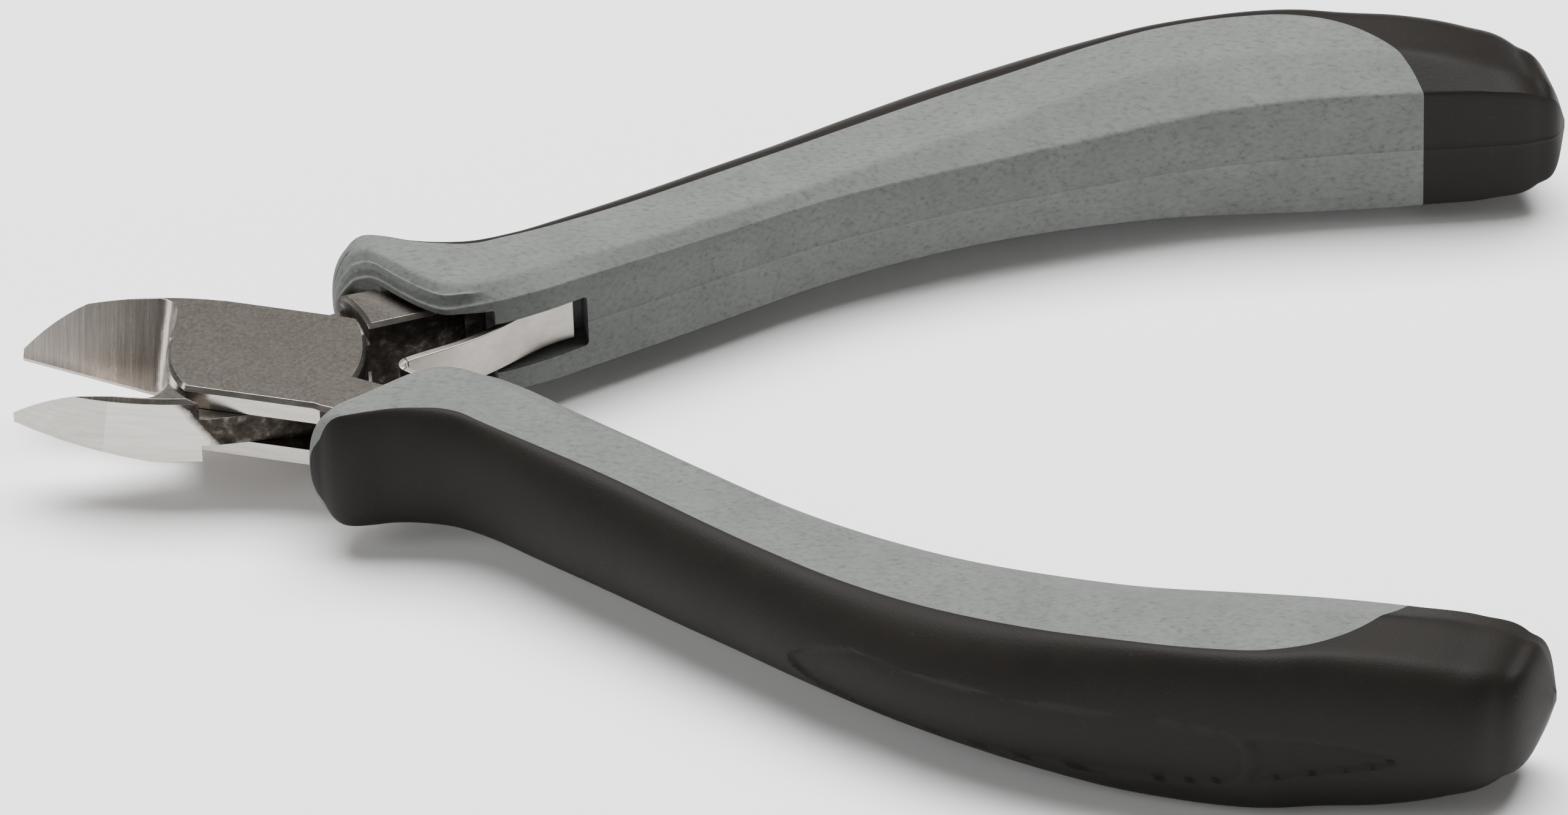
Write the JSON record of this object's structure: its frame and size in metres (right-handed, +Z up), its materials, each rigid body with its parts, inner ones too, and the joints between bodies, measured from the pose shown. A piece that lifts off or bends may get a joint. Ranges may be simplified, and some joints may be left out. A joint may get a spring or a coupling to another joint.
{
  "type": "flush cutter",
  "caption": "Electronics flush-cutting hand nipper with a riveted box joint, bevelled jaws, a two-leaf return spring and moulded two-tone grips, drawn open.",
  "frame": {"origin": "centre of the bottom of the bounding box, under the widest part of the open tool", "axes": "+X from the jaw tips to the ends of the grips, +Y across the open grips to the lever whose tongue passes through the joint, +Z up from the flush side of the jaws to their bevelled side"},
  "size_m": [0.1304, 0.0898, 0.0165],
  "materials": {
    "lever_steel": "ground and brushed, satin",
    "rivet_steel": "ground flush, satin",
    "spring_steel": "satin spring strip",
    "grip_grey": "matt mottled soft moulding",
    "grip_black": "satin moulding"
  },
  "bodies": {
    "outer_half": {"outer_lever": "lever_steel", "joint_rivet": "rivet_steel", "grip_core_outer": "grip_grey", "grip_back_outer": "grip_black"},
    "inner_half": {"inner_lever": "lever_steel", "grip_core_inner": "grip_grey", "grip_back_inner": "grip_black"},
    "fold": {"spring_fold": "spring_steel"},
    "leaf_inner": {"spring_leaf_inner": "spring_steel"},
    "leaf_outer": {"spring_leaf_outer": "spring_steel"}
  },
  "joints": [
    {"name": "handle_pivot", "type": "hinge", "parent": "outer_half", "child": "inner_half", "pos_m": [-0.04483, 0, 0.00824], "axis": [0, 0, -1], "range_deg": [0, 21], "stiffness_Nm_per_rad": 0.27, "springref_deg": -11.46},
    {"name": "fold_follow", "type": "hinge", "parent": "outer_half", "child": "fold", "pos_m": [-0.04483, 0, 0.00824], "axis": [0, 0, -1], "range_deg": [0, 10.5]},
    {"name": "leaf_inner_bend", "type": "hinge", "parent": "fold", "child": "leaf_inner", "pos_m": [-0.03183, 0, 0.00824], "axis": [0, 0, -1], "range_deg": [0, 17.64]},
    {"name": "leaf_outer_bend", "type": "hinge", "parent": "fold", "child": "leaf_outer", "pos_m": [-0.03183, 0, 0.00824], "axis": [0, 0, 1], "range_deg": [0, 17.64]}
  ],
  "couplings": [
    {"joint": "fold_follow", "follows": "handle_pivot", "ratio": 0.5},
    {"joint": "leaf_inner_bend", "follows": "handle_pivot", "ratio": 0.84},
    {"joint": "leaf_outer_bend", "follows": "handle_pivot", "ratio": 0.84}
  ]
}
